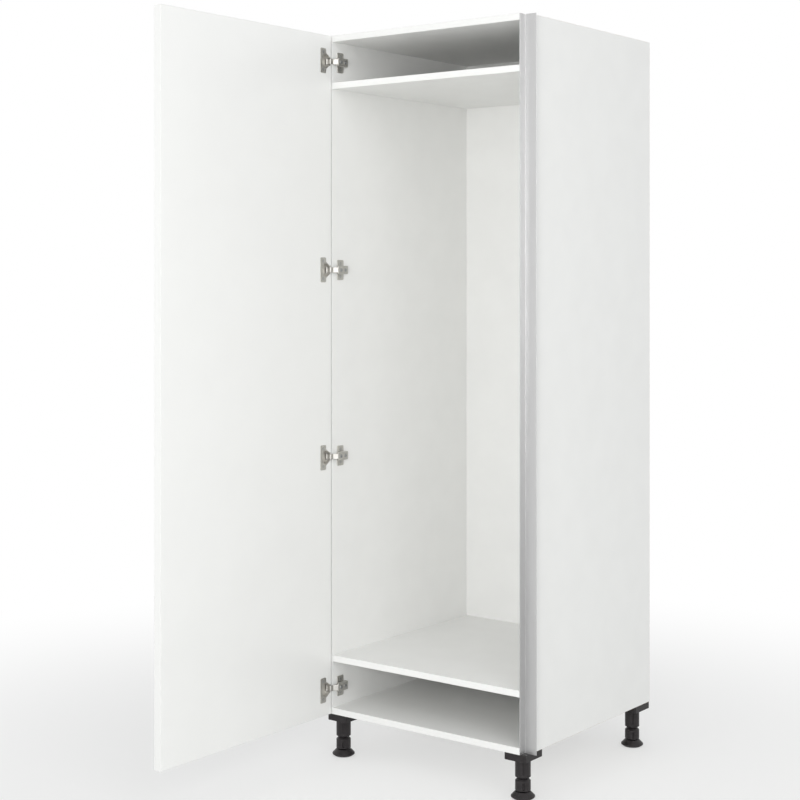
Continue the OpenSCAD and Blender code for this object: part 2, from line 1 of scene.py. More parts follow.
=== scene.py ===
"""Looks of a tall fridge housing unit: board carcass, full-height door on four concealed hinges,
aluminium finger profile and four adjustable feet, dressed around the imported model.

The shapes are worked out in millimetres in the model's own frame, +X to the right, +Y to the back,
+Z up, and become metres when a mesh is made."""
import math

import bmesh
import bpy
import numpy as np
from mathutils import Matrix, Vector


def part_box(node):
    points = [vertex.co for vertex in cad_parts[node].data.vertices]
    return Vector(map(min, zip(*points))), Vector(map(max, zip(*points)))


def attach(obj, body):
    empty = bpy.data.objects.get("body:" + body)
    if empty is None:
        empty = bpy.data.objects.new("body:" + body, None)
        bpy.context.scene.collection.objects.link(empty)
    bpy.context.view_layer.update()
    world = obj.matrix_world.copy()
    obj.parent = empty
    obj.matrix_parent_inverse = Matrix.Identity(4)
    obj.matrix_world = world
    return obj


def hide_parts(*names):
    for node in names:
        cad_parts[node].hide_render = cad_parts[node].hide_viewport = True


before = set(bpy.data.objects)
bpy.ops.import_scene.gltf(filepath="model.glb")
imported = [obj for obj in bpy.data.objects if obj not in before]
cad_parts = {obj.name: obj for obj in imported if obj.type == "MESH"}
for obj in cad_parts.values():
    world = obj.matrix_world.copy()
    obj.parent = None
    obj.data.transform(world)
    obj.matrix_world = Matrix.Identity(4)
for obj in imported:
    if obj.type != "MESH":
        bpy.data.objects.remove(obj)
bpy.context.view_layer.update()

bl_info = {
    "name": "Fridge housing unit",
    "version": (1, 0, 0),
    "blender": (4, 5, 0),
    "location": "3D View > Sidebar > Housing",
    "description": "Builds the pieces, finishes and studio of a tall fridge housing unit",
    "category": "Object",
}

MM = 0.001

# Heights of the hinge centres
HINGE_HEIGHTS = (177.0, 766.0, 1241.0, 1771.0)
# Depth of the cup centres, and the pin's place: over the left panel's inner face, and in depth
CUP_Y = -26.5
PIN_X, PIN_Y = -8.75, -11.25
# Depth of the arms' adjusting screws, and of the plates' screw line
ADJUSTER_YS = (18.0, 35.0)
PLATE_LINE = 30.0
# Thickness of the cross plates and of the wings, and the arms' outer face over the side panel
PLATE_T, WING_T, ARM_TOP = 2.5, 1.2, 14.4
# Arrises of the bands: on the board's side, at the ends of the upright ones and at those of the level ones
SEAM, UPRIGHT_END, LEVEL_END = 0.25, 0.2, 0.1
# Radius of a foot's sleeve and collar, and of its stem
BARREL_R = 18.5
STEM_R = 10.0
# Direction of the moulding groove and of the first tool slot of a foot
FOOT_TURN = math.radians(-52.5)


def linear(hex_text):
    """sRGB hex to the linear colour that shaders take, with an alpha of 1."""
    channels = [int(hex_text[i:i + 2], 16) / 255 for i in (0, 2, 4)]
    return tuple(c / 12.92 if c <= 0.04045 else ((c + 0.055) / 1.055) ** 2.4 for c in channels) + (1.0,)


def box_mm(node):
    """Lowest and highest corner of a CAD node, in millimetres."""
    low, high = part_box(node)
    return np.array(low) / MM, np.array(high) / MM


# Inner face of the left side panel
LEFT_FACE = box_mm("side_panel_left")[1][0]
# Thickness of the boards, and the height of each underside, with 1 where the cams are in the upper face
BOARD_T = 16.0
BOARDS = [(box_mm(node)[0][2], side) for node, side in (
    ("bottom_board", -1), ("niche_floor_board", -1), ("niche_ceiling_board", 1), ("top_board", 1))]


# Shapes


def corner_arcs(before, corner, after, radius, steps):
    """Arc that replaces each corner: its centre lies on the bisector at radius / sin(half angle), and its
    points turn evenly from one tangent point to the other, (sin((1-f)a) s + sin(f a) e) / sin a."""
    back = before - corner
    ahead = after - corner
    back /= np.linalg.norm(back, axis=1, keepdims=True)
    ahead /= np.linalg.norm(ahead, axis=1, keepdims=True)
    half = np.arccos(np.clip((back * ahead).sum(axis=1, keepdims=True), -1, 1)) / 2
    bisector = back + ahead
    bisector /= np.linalg.norm(bisector, axis=1, keepdims=True)
    centre = corner + bisector * radius / np.sin(half)
    start = corner + back * radius / np.tan(half) - centre
    end = corner + ahead * radius / np.tan(half) - centre
    turn = (math.pi - 2 * half)[:, None]
    f = np.linspace(0, 1, steps + 1)[None, :, None]
    arc = (np.sin((1 - f) * turn) * start[:, None] + np.sin(f * turn) * end[:, None]) / np.sin(turn)
    return centre[:, None] + arc


def rectangle(u0, v0, u1, v1):
    """Corners of a rectangle, counter-clockwise."""
    return [(u0, v0), (u1, v0), (u1, v1), (u0, v1)]


def rounded(corners, radii, steps=5):
    """Closed loop through the corners, counter-clockwise, with each corner replaced by its arc."""
    p = np.array(corners, float)
    r = np.broadcast_to(np.array(radii, float), len(p))[:, None]
    return corner_arcs(np.roll(p, 1, 0), p, np.roll(p, -1, 0), r, steps).reshape(-1, 2)


def rounded_line(points, radii, steps=4):
    """Open line through the points, with each inner corner replaced by its arc."""
    p = np.array(points, float)
    r = np.broadcast_to(np.array(radii, float), len(p) - 2)[:, None]
    arcs = corner_arcs(p[:-2], p[1:-1], p[2:], r, steps).reshape(-1, 2)
    return np.vstack([p[:1], arcs, p[-1:]])


def resampled(line, spacing, radius=None):
    """Points of an open line at an even spacing along its length. With a radius, the line's own points stay,
    and even ones are added only where the line runs at that radius."""
    length = np.concatenate([[0], np.cumsum(np.linalg.norm(np.diff(line, axis=0), axis=1))])
    stations = np.linspace(0, length[-1], int(round(length[-1] / spacing)) + 1)
    if radius is not None:
        straight = abs(np.interp(stations, length, line[:, 0]) - radius) < 0.001
        clear = abs(stations[:, None] - length).min(axis=1) > spacing / 4
        stations = np.sort(np.concatenate([length, stations[straight & clear]]))
    return np.column_stack([np.interp(stations, length, line[:, k]) for k in (0, 1)])


def inset(loop, distance):
    """Counter-clockwise loop moved inwards: each point goes along the mitre (n1 + n2) / (1 + n1.n2) of
    the inward normals of its two edges."""
    edge = np.roll(loop, -1, 0) - loop
    edge /= np.linalg.norm(edge, axis=1, keepdims=True)
    normal = np.column_stack([-edge[:, 1], edge[:, 0]])
    before = np.roll(normal, 1, 0)
    return loop + distance * (normal + before) / (1 + (normal * before).sum(axis=1, keepdims=True))


def soft_ends(low, high, low_arris, high_arris, steps=4):
    """(inset, height) profile of a prism from low to high. Each end arris is a quarter circle:
    inset = r (1 - sin a), height = end + r (1 - cos a), for a from 0 to 90 degrees."""
    a = np.linspace(0, math.pi / 2, steps + 1)
    bottom = np.column_stack([low_arris * (1 - np.sin(a)), low + low_arris * (1 - np.cos(a))])
    top = np.column_stack([high_arris * (1 - np.sin(a)), high - high_arris * (1 - np.cos(a))])
    return np.vstack([bottom, top[::-1]])


def loft(loop, profile):
    """Rings of a solid, P(i, j) = (loop j moved in by inset i, height i), for an (inset, height) profile."""
    return np.stack([np.column_stack([inset(loop, d), np.full(len(loop), h)]) for d, h in profile])


def turned(profile, columns, change=None):
    """Rings of a turned solid, P(i, j) = (r cos t, r sin t, z) with (r, z) from the profile and t the angle.
    change(r, z, t) returns the radius and height where they vary round the turn."""
    r, z = (np.repeat(column[:, None], columns, axis=1) for column in np.array(profile, float).T)
    t = np.broadcast_to(np.arange(columns) * (2 * math.pi / columns), r.shape)
    if change is not None:
        r, z = change(r, z, t)
    return np.stack([r * np.cos(t), r * np.sin(t), z], axis=-1)


def step(x, low, high):
    """Smooth step from 0 at low to 1 at high: 3f^2 - 2f^3."""
    f = np.clip((x - low) / (high - low), 0, 1)
    return f * f * (3 - 2 * f)


def keyhole(radius, half, reach, corner, arc_steps=44, steps=4):
    """Counter-clockwise outline of a circle round the origin joined to a slot of half height half that
    reaches along +u: the long arc of the circle, then the slot's two rounded corners."""
    open_angle = math.asin(half / radius)
    t = np.linspace(open_angle, 2 * math.pi - open_angle, arc_steps)
    arc = radius * np.column_stack([np.cos(t), np.sin(t)])
    ends = np.array([[reach, -half], [reach, half]])
    before = np.array([[0.0, -half], [reach, -half]])
    after = np.array([[reach, half], [0.0, half]])
    corners = corner_arcs(before, ends, after, np.full((2, 1), corner), steps).reshape(-1, 2)
    return np.vstack([arc, corners])


def channel(path, half_width, drop, sheet, fold, corner=1.2, edge=0.35):
    """Rings of a sheet strip with folded cheeks, carried along a plan path. At each station the section is a
    flat of half width w, rounded into cheeks that go down by drop, with (n, z) measured along the path's
    normal and upwards; P(i, j) = path i + n j * normal i, at height z j."""
    tangent = np.gradient(path, axis=0)
    tangent /= np.linalg.norm(tangent, axis=1, keepdims=True)
    normal = np.column_stack([tangent[:, 1], -tangent[:, 0]])
    w, low = half_width, -sheet / 2 - drop
    soft = np.minimum(edge, drop / 2)
    a = np.linspace(0, math.pi / 2, 5)
    half = [(sheet / 2 + 0 * w, w * k) for k in (0.0, 0.35, 0.7)]
    half += [(sheet / 2 - corner * (1 - np.cos(k)) + 0 * w, w - corner * (1 - np.sin(k))) for k in a]
    half += [(low + soft, w), (low + 0.3 * soft, w - 0.3 * edge), (low, w - edge)]
    half += [(low, w - fold + edge), (low + 0.3 * soft, w - fold + 0.3 * edge), (low + soft, w - fold)]
    half += [(-sheet / 2 - soft, w - fold), (-sheet / 2 + 0 * w, w - fold - edge)]
    n, z = (np.stack(part, axis=1) for part in zip(*half))
    n = np.concatenate([n, n[:, :0:-1]], axis=1)
    z = np.concatenate([z, -z[:, :0:-1]], axis=1)
    plan = path[:, None, :] + n[..., None] * normal[:, None, :]
    return np.concatenate([plan, z[..., None]], axis=-1)


def cross_recess(span, blade, depth, wall=0.25):
    """Change for turned(): a cross recess sunk into a screw's head, two slots with walls that slope over
    wall. It acts on heights above 0 only."""
    def change(r, z, t):
        x, y = r * np.cos(t), r * np.sin(t)
        arms = [np.clip(np.minimum(span / 2 - abs(p), blade / 2 - abs(q)) / wall + 0.5, 0, 1)
                for p, q in ((x, y), (y, x))]
        return r, z - depth * np.maximum(*arms) * (z > 0)
    return change


def screw(shank_d, length, rim, dome, recess_span, recess_depth):
    """Rings of a screw along +w with its head's seat at height 0. rim is the (radius, height) profile of the
    head's flank, and the head is a dome z = top + dome (1 - (r / R)^2) with a cross recess."""
    edge, top = rim[-1]
    core, blade = 0.3, 0.9
    r = np.linspace(edge, core, 16)[1:]
    head = np.column_stack([r, top + dome * (1 - (r / edge) ** 2)])
    tip = [(core, -length), (shank_d * 0.3, -length + 0.8), (shank_d / 2, -length + 2.4)]
    return turned(np.vstack([tip, rim, head]), 40, cross_recess(recess_span, blade, recess_depth))


def countersunk(shank_d, length, head_d, dome, recess_span, recess_depth):
    """Rings of a raised countersunk screw: a 45 degree cone from the shank to the head's rim."""
    depth = (head_d - shank_d) / 2
    rim = [(shank_d / 2, -depth), (head_d / 2 - 0.1, -0.12), (head_d / 2, 0.02)]
    return screw(shank_d, length, rim, dome, recess_span, recess_depth)


def thread(pitch, depth, low, high, crest):
    """Change for turned(): a right-hand thread between the heights low and high, with radius
    crest - depth * (1 - flank) and flank a flattened wave of z / pitch - t / 2 pi. It fades at its ends."""
    run_out = 1.5

    def change(r, z, t):
        phase = (z / pitch - t / (2 * math.pi)) % 1
        flank = step(1 - abs(2 * phase - 1), 0.15, 0.75)
        fade = step(z, low, low + run_out) * (1 - step(z, high - run_out, high))
        stem = (z >= low) & (z <= high) & (r <= crest + 0.01)
        return np.where(stem, r - depth * (1 - flank) * fade, r), z
    return change


def slots(first, count, width, depth, low, high, radius):
    """Change for turned(): count upright slots, evenly spread from the angle first, that are sunk into a
    barrel of the given radius. Their walls slope a little, and what lies deeper than skin stays."""
    side, end, skin = 0.25, 0.3, 0.5

    def change(r, z, t):
        spread = 2 * math.pi / count
        off = ((t - first + spread / 2) % spread - spread / 2) * radius
        across = step(width / 2 - abs(off), -side, side)
        along = step(z, low - end, low + end) * (1 - step(z, high - end, high + end))
        return np.where(r > radius - skin, r - depth * across * along, r), z
    return change


class Shells:
    """Closed surfaces of one piece, in millimetres, gathered until the mesh is made."""

    def __init__(self):
        self.points, self.faces, self.count = [], [], 0

    def add(self, rings, at=(0, 0, 0), order="XYZ", signs=(1, 1, 1), ring_closed=False):
        """Adds a grid of rings, moved to at. order names the axis that each local column goes to, and signs
        flips a column. The first and last ring get a flat cap, or are joined if ring_closed."""
        rows, columns = rings.shape[:2]
        placed = np.empty_like(rings)
        for column, axis in enumerate(order):
            placed[..., "XYZ".index(axis)] = rings[..., column] * signs[column]
        last = rows if ring_closed else rows - 1
        i, j = np.mgrid[0:last, 0:columns]
        i2, j2 = (i + 1) % rows, (j + 1) % columns
        quads = np.stack([i * columns + j, i * columns + j2, i2 * columns + j2, i2 * columns + j], -1)
        faces = (quads.reshape(-1, 4) + self.count).tolist()
        if not ring_closed:
            first_ring = np.arange(columns) + self.count
            faces += [first_ring[::-1].tolist(), (first_ring + (rows - 1) * columns).tolist()]
        self.points.append((placed + np.array(at, float)).reshape(-1, 3))
        self.faces += faces
        self.count += rows * columns

    def piece(self, name, material, body, slot, *nodes):
        """Makes the object that stands for the CAD nodes: faces turned outwards, smooth but for edges over 35
        degrees, and normals weighted by area so that flats stay flat beside their rounded arrises."""
        mesh = bpy.data.meshes.new(name)
        mesh.from_pydata((np.vstack(self.points) * MM).tolist(), [], self.faces)
        work = bmesh.new()
        work.from_mesh(mesh)
        bmesh.ops.recalc_face_normals(work, faces=work.faces)
        work.to_mesh(mesh)
        work.free()
        mesh.shade_smooth()
        mesh.set_sharp_from_angle(angle=math.radians(35))
        mesh.materials.append(material)
        piece = bpy.data.objects.new(name, mesh)
        bpy.context.collection.objects.link(piece)
        normals = piece.modifiers.new("Flat faces", "WEIGHTED_NORMAL")
        normals.keep_sharp = True
        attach(piece, body)
        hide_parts(*nodes)


# Finishes


def add_node(tree, kind, attributes=None, values=None, links=None):
    """Adds one node, sets its attributes and socket values, and links sockets into it."""
    node = tree.nodes.new(kind)
    for name, value in (attributes or {}).items():
        setattr(node, name, value)
    for key, value in (values or {}).items():
        node.inputs[key].default_value = value
    for key, source in (links or {}).items():
        tree.links.new(source, node.inputs[key])
    return node


class Finish:
    """A material under construction: its node tree, its shader and the object's own coordinates."""

    def __init__(self, name, **shader):
        self.material = bpy.data.materials.new(name)
        self.material.use_nodes = True
        self.tree = self.material.node_tree
        self.tree.nodes.clear()
        self.shader = add_node(self.tree, "ShaderNodeBsdfPrincipled", values=shader)
        add_node(self.tree, "ShaderNodeOutputMaterial", links={"Surface": self.shader.outputs["BSDF"]})
        self.coords = add_node(self.tree, "ShaderNodeTexCoord").outputs["Object"]

    def cells(self, size):
        """The object's coordinates counted in cells of that size, (x, y, z) in millimetres."""
        return add_node(self.tree, "ShaderNodeMapping", values={"Scale": tuple(1 / (s * MM) for s in size)},
                        links={"Vector": self.coords}).outputs["Vector"]

    def grain(self, size, detail=2.0):
        """Noise in cells of that size."""
        return add_node(self.tree, "ShaderNodeTexNoise", values={"Scale": 1.0, "Detail": detail},
                        links={"Vector": self.cells(size)}).outputs["Fac"]

    def between(self, factor, low, high, start=0.3, end=0.7):
        """Value that goes from low to high as the factor goes from start to end."""
        return add_node(self.tree, "ShaderNodeMapRange",
                        values={"From Min": start, "From Max": end, "To Min": low, "To Max": high},
                        links={"Value": factor}).outputs["Result"]

    def mixed(self, factor, first, second, kind="RGBA"):
        """Mix from first to second, of colours or, with the kind FLOAT or VECTOR, of numbers or normals. Each
        is a value or a socket."""
        node = add_node(self.tree, "ShaderNodeMix", {"data_type": kind})
        self.tree.links.new(factor, node.inputs[0])
        socket_type = "VALUE" if kind == "FLOAT" else kind
        for key, value in (("A", first), ("B", second)):
            socket = [s for s in node.inputs if s.name == key and s.type == socket_type][0]
            if isinstance(value, bpy.types.NodeSocket):
                self.tree.links.new(value, socket)
            else:
                socket.default_value = value
        return [s for s in node.outputs if s.type == socket_type][0]

    def relief(self, height, depth):
        """Bump of a height map, depth millimetres high."""
        return add_node(self.tree, "ShaderNodeBump", values={"Strength": 1.0, "Distance": depth * MM},
                        links={"Height": height}).outputs["Normal"]

    def set(self, **sockets):
        """Links sockets into the shader, with _ for the space in a socket's name."""
        for key, source in sockets.items():
            self.tree.links.new(source, self.shader.inputs[key.replace("_", " ")])
        return self.material


def shaded(colour, amount):
    """The colour made darker by amount, from 0 to 1."""
    return tuple(c * (1 - amount) for c in colour[:3]) + (1.0,)


def melamine_chipboard(name, colour, raw=()):
    """White melamine-faced chipboard. The pressed paper has a fine pearl texture, drawn at 1.1 mm so that it
    shows, and a faint cloudiness. raw lists sawn faces without a band as (axis, limit in mm, side): there the
    chips show, flakes of 1 to 4 mm in browns, matt and rough."""
    finish = Finish(name, Roughness=0.42)
    cloud = finish.grain((70, 70, 70))
    pearl = finish.grain((1.1, 1.1, 1.1), detail=1.0)
    paper = finish.mixed(finish.between(cloud, 0, 1), shaded(colour, 0.02), colour)
    rough = finish.between(pearl, 0.38, 0.46)
    if not raw:
        return finish.set(Base_Color=paper, Roughness=rough, Normal=finish.relief(pearl, 0.012))
    axes = add_node(finish.tree, "ShaderNodeSeparateXYZ", links={"Vector": finish.coords}).outputs
    mask = None
    for axis, limit, side in raw:
        test = add_node(finish.tree, "ShaderNodeMath",
                        {"operation": "GREATER_THAN" if side > 0 else "LESS_THAN"},
                        values={1: limit * MM}, links={0: axes[axis]}).outputs[0]
        if mask is not None:
            test = add_node(finish.tree, "ShaderNodeMath", {"operation": "MAXIMUM"},
                            links={0: mask, 1: test}).outputs[0]
        mask = test
    chips = add_node(finish.tree, "ShaderNodeTexVoronoi", {"feature": "F1"},
                     values={"Scale": 1.0, "Randomness": 1.0},
                     links={"Vector": finish.cells((3.2, 2.6, 3.2))})
    tone = add_node(finish.tree, "ShaderNodeSeparateColor", links={"Color": chips.outputs["Color"]})
    flakes = finish.mixed(tone.outputs[0], linear("B08D5F"), linear("DCC49A"))
    dust = finish.grain((0.7, 0.7, 0.7), detail=3.0)
    flakes = finish.mixed(finish.between(dust, 0, 0.55, 0.45, 0.75), flakes, linear("7E5F3B"))
    edge = finish.relief(chips.outputs["Distance"], 0.25)
    vector = finish.mixed(mask, finish.relief(pearl, 0.012), edge, "VECTOR")
    matt = finish.mixed(mask, rough, 0.85, "FLOAT")
    return finish.set(Base_Color=finish.mixed(mask, paper, flakes), Roughness=matt, Normal=vector)


def satin_lacquer(name, colour):
    """White satin lacquer sprayed on board. The spray leaves a faint orange peel of about 2 mm and a soft,
    even sheen."""
    finish = Finish(name, Roughness=0.32, **{"Coat Weight": 0.15, "Coat Roughness": 0.25})
    peel = finish.grain((2.2, 2.2, 2.2), detail=1.0)
    cloud = finish.grain((120, 120, 120))
    paint = finish.mixed(finish.between(cloud, 0, 1), shaded(colour, 0.015), colour)
    return finish.set(Base_Color=paint, Roughness=finish.between(peel, 0.29, 0.36),
                      Normal=finish.relief(peel, 0.01))


def abs_band(name, colour, along):
    """White ABS edge band, extruded and then milled flush. The cutter leaves fine lines along the band,
    drawn at 0.6 mm, and a smoother shine than the boards have. along is the band's axis."""
    finish = Finish(name, Roughness=0.34)
    cell = [0.6, 0.6, 0.6]
    cell[along] = 60.0
    lines = finish.grain(cell)
    tone = finish.mixed(finish.between(lines, 0, 1), shaded(colour, 0.035), colour)
    return finish.set(Base_Color=tone, Roughness=finish.between(lines, 0.28, 0.42),
                      Normal=finish.relief(lines, 0.012))


def anodised_aluminium(name, colour):
    """Extruded aluminium, brushed along its length and anodised. The brush lines, drawn at 0.5 mm by 90 mm,
    stretch highlights across the profile, and the oxide layer keeps them soft."""
    finish = Finish(name, Metallic=1.0, Roughness=0.42, Anisotropic=0.35)
    lines = finish.grain((0.5, 0.5, 90.0), detail=3.0)
    bloom = finish.grain((25.0, 25.0, 160.0))
    tone = finish.mixed(finish.between(lines, 0, 1), shaded(colour, 0.10), colour)
    tone = finish.mixed(finish.between(bloom, 0, 0.5), tone, colour)
    return finish.set(Base_Color=tone, Roughness=finish.between(lines, 0.36, 0.5),
                      Normal=finish.relief(lines, 0.006))


def moulded_polypropylene(name, colour):
    """Black polypropylene, injection moulded in an eroded tool. The spark-eroded skin is a fine matt grain of
    0.5 mm, with slightly shinier flow patches."""
    finish = Finish(name, Roughness=0.5, **{"Specular IOR Level": 0.3})
    skin = finish.grain((0.5, 0.5, 0.5), detail=1.5)
    flow = finish.grain((14, 14, 9))
    tone = finish.mixed(finish.between(flow, 0, 1), colour, tuple(c * 1.6 for c in colour[:3]) + (1.0,))
    return finish.set(Base_Color=tone, Roughness=finish.between(flow, 0.38, 0.52),
                      Normal=finish.relief(skin, 0.03))


def plated_steel(name, colour, low, high, blotch):
    """Plated sheet or wire: a metal with faint drawing lines of 0.3 mm and a cloudy sheen from the bath.
    Nickel is warm and glossier, zinc is bluish and blotchy."""
    finish = Finish(name, Metallic=1.0, Roughness=(low + high) / 2)
    lines = finish.grain((0.3, 6.0, 0.3))
    cloud = finish.grain((blotch, blotch, blotch), detail=3.0)
    tone = finish.mixed(finish.between(cloud, 0, 1), shaded(colour, 0.14), colour)
    return finish.set(Base_Color=tone, Roughness=finish.between(cloud, low, high),
                      Normal=finish.relief(lines, 0.004))


def die_cast_zinc(name, colour):
    """Bare die-cast zinc: grey, with a dull skin and small flow marks of 1.5 mm."""
    finish = Finish(name, Metallic=1.0, Roughness=0.5)
    flow = finish.grain((1.5, 1.5, 1.5), detail=3.0)
    tone = finish.mixed(finish.between(flow, 0, 1), shaded(colour, 0.22), colour)
    return finish.set(Base_Color=tone, Roughness=finish.between(flow, 0.42, 0.6),
                      Normal=finish.relief(flow, 0.03))


def fluted_beech(name, colour):
    """Beech dowel: pale wood with grain lines of 0.5 mm along the dowel and the short dark flecks of its
    rays, under pressed flutes."""
    finish = Finish(name, Roughness=0.6)
    lines = finish.grain((22.0, 0.5, 0.5), detail=3.0)
    flecks = finish.grain((2.5, 0.4, 0.4))
    tone = finish.mixed(finish.between(lines, 0, 1), shaded(colour, 0.25), colour)
    tone = finish.mixed(finish.between(flecks, 0, 0.6, 0.6, 0.75), tone, shaded(colour, 0.5))
    return finish.set(Base_Color=tone, Normal=finish.relief(lines, 0.05))


def moulded_cap(name, colour):
    """White moulded cap: smooth plastic with the faint texture of its tool, 0.8 mm."""
    finish = Finish(name, Roughness=0.4)
    skin = finish.grain((0.8, 0.8, 0.8))
    tone = finish.mixed(finish.between(skin, 0, 1), shaded(colour, 0.03), colour)
    return finish.set(Base_Color=tone, Roughness=finish.between(skin, 0.36, 0.46),
                      Normal=finish.relief(skin, 0.01))


def dress(node, material):
    """Gives a carried-over CAD node its finish."""
    slots_of_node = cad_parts[node].material_slots
    if not len(slots_of_node):
        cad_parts[node].data.materials.append(material)
    for entry in slots_of_node:
        entry.material = material


# Sizes and colours


def length(name, description, default, low, high):
    """A length property in metres, from a default and limits in millimetres that keep the shapes sound."""
    return bpy.props.FloatProperty(name=name, description=description, default=default * MM, min=low * MM,
                                   max=high * MM, unit="LENGTH", precision=5)


def tint(name, description, hex_text):
    """A colour property from an sRGB hex value."""
    return bpy.props.FloatVectorProperty(name=name, description=description, size=4, min=0.0, max=1.0,
                                         default=linear(hex_text), subtype="COLOR")


class HousingSizes(bpy.types.PropertyGroup):
    """Fine sizes of the unit's pieces that the frame doesn't fix."""
    band_arris: length("Band arris", "Radius milled on the outer arrises of the edge bands", 0.7, 0.25, 0.7)
    profile_arris: length("Profile arris", "Radius of the aluminium profile's free edges", 0.6, 0.2, 0.75)
    plate_arris: length("Plate arris", "Radius round the stamped edges of the hinge plates", 0.4, 0.1, 0.45)
    socket_corner: length("Socket corner", "Radius of the sockets' upright corners", 4.0, 3.5, 6.0)
    thread_pitch: length("Thread pitch", "Rise of a foot's thread in one turn", 4.0, 2.5, 6.0)
    thread_depth: length("Thread depth", "Depth of a foot's thread", 1.1, 0.2, 2.0)
    head_dome: length("Screw head dome", "Rise of the raised screw heads over their seats", 0.5, 0.1, 1.0)
    cap_dome: length("Cap dome", "Rise of the cam caps over the board", 1.15, 0.5, 1.2)


class HousingColours(bpy.types.PropertyGroup):
    """Colours of the unit's finishes."""
    melamine: tint("Melamine", "Faces of the carcass boards", "F4F4F2")
    lacquer: tint("Lacquer", "Faces of the door", "F6F6F4")
    band: tint("Edge band", "Edge bands of the boards and the door", "F1F1EF")
    aluminium: tint("Aluminium", "Anodised finger profile", "C8C8C8")
    polypropylene: tint("Polypropylene", "Moulded feet", "232021")
    nickel: tint("Nickel", "Plated hinges", "D6D4CF")
    zinc_plate: tint("Zinc plate", "Screws and wall angles", "B9BABB")
    die_cast: tint("Die-cast zinc", "Cam housings", "A9AAAB")
    beech: tint("Beech", "Dowels", "D2A873")
    cap: tint("Cap", "Cam caps", "F2F2F0")
    floor: tint("Floor", "Studio floor", "F2F2F0")


# Pieces


def dress_boards(colours):
    """Carcass boards and back panel: CAD solids in melamine-faced chipboard. Sawn faces without a band are
    the rear edges and, on the side panels, the top and bottom ends."""
    low, high = box_mm("side_panel_left")
    skin = 0.15
    ends = [(2, low[2] + skin, -1), (2, high[2] - skin, 1), (1, high[1] - skin, 1)]
    side = melamine_chipboard("melamine_chipboard_side", colours.melamine, ends)
    outer = melamine_chipboard("melamine_chipboard_outer_board", colours.melamine, ends[2:])
    inner = melamine_chipboard("melamine_chipboard", colours.melamine)
    for node in ("side_panel_left", "side_panel_right"):
        dress(node, side)
    for node in ("bottom_board", "top_board"):
        dress(node, outer)
    for node in ("niche_floor_board", "niche_ceiling_board", "back_panel"):
        dress(node, inner)


def make_edge_bands(sizes, colours):
    """Bands on the left side panel and on the four boards, with their outer arrises rounded."""
    arris = sizes.band_arris / MM
    low, high = box_mm("side_edge_band")
    upright = Shells()
    section = rounded(rectangle(low[0], low[1], high[0], high[1]), [arris, arris, SEAM, SEAM])
    upright.add(loft(section, soft_ends(low[2], high[2], UPRIGHT_END, UPRIGHT_END)))
    upright.piece("side_band", abs_band("abs_band_upright", colours.band, 2), "carcass", "edge_band",
                  "side_edge_band")
    low, high = box_mm("board_edge_bands")
    level = Shells()
    for z, _ in BOARDS:
        section = rounded(rectangle(low[1], z, high[1], z + BOARD_T), [arris, SEAM, SEAM, arris])
        level.add(loft(section, soft_ends(low[0], high[0], LEVEL_END, LEVEL_END)), order="YZX")
    level.piece("board_bands", abs_band("abs_band_level", colours.band, 0), "carcass", "edge_band",
                "board_edge_bands")


def make_door(sizes, colours):
    """Door panel in lacquer, and its four bands: two uprights over the full height and two short ones."""
    dress("door_panel", satin_lacquer("satin_lacquer", colours.lacquer))
    arris, play = sizes.band_arris / MM, 0.05
    low, high = box_mm("door_edge_bands")
    core_low, core_high = box_mm("door_panel")
    bands = Shells()
    upright_ends = soft_ends(low[2], high[2], UPRIGHT_END, UPRIGHT_END)
    level_ends = soft_ends(core_low[1] + play, core_high[1] - play, LEVEL_END, LEVEL_END)
    for y0, y1, radii in ((low[1], core_low[1], (arris, arris, SEAM, SEAM)),
                          (core_high[1], high[1], (SEAM, SEAM, arris, arris))):
        bands.add(loft(rounded(rectangle(low[0], y0, high[0], y1), radii), upright_ends))
    for z0, z1, radii in ((low[2], core_low[2], (arris, SEAM, SEAM, arris)),
                          (core_high[2], high[2], (SEAM, arris, arris, SEAM))):
        bands.add(loft(rounded(rectangle(z0, low[0], z1, high[0]), radii), level_ends), order="ZXY")
    bands.piece("door_bands", abs_band("abs_band_door", colours.band, 2), "door", "edge_band",
                "door_edge_bands")


def make_profile(sizes, colours):
    """Finger profile: an angle with a fin that is pressed into the side panel's edge, as one extrusion."""
    low, high = box_mm("grip_profile")
    side_low, side_high = box_mm("side_panel_right")
    wall = 1.6
    x0, x1, y0, y1 = low[0], high[0], low[1], side_low[1]
    middle = (side_low[0] + side_high[0]) / 2
    fin0, fin1, tip = middle - wall / 2, middle + wall / 2, high[1]
    corners = [(x0, y0), (x0 + wall, y0), (x0 + wall, y1 - wall), (x1, y1 - wall), (x1, y1),
               (fin1, y1), (fin1, tip), (fin0, tip), (fin0, y1), (x0, y1)]
    free, bend, root, soft, cut = sizes.profile_arris / MM, 0.8, 0.2, 0.3, 0.15
    section = rounded(corners, [free, free, bend, free, free, root, soft, soft, root, soft])
    profile = Shells()
    profile.add(loft(section, soft_ends(low[2], high[2], cut, cut)))
    profile.piece("finger_profile", anodised_aluminium("anodised_aluminium", colours.aluminium), "carcass",
                  "profile_aluminium", "grip_profile")


def foot_centres():
    """Plan centre of each foot, by its place on the carcass."""
    centres = {}
    for place in ("front_left", "front_right", "rear_left", "rear_right"):
        low, high = box_mm("foot_disc_" + place)
        centres[place] = (low + high)[:2] / 2
    return centres


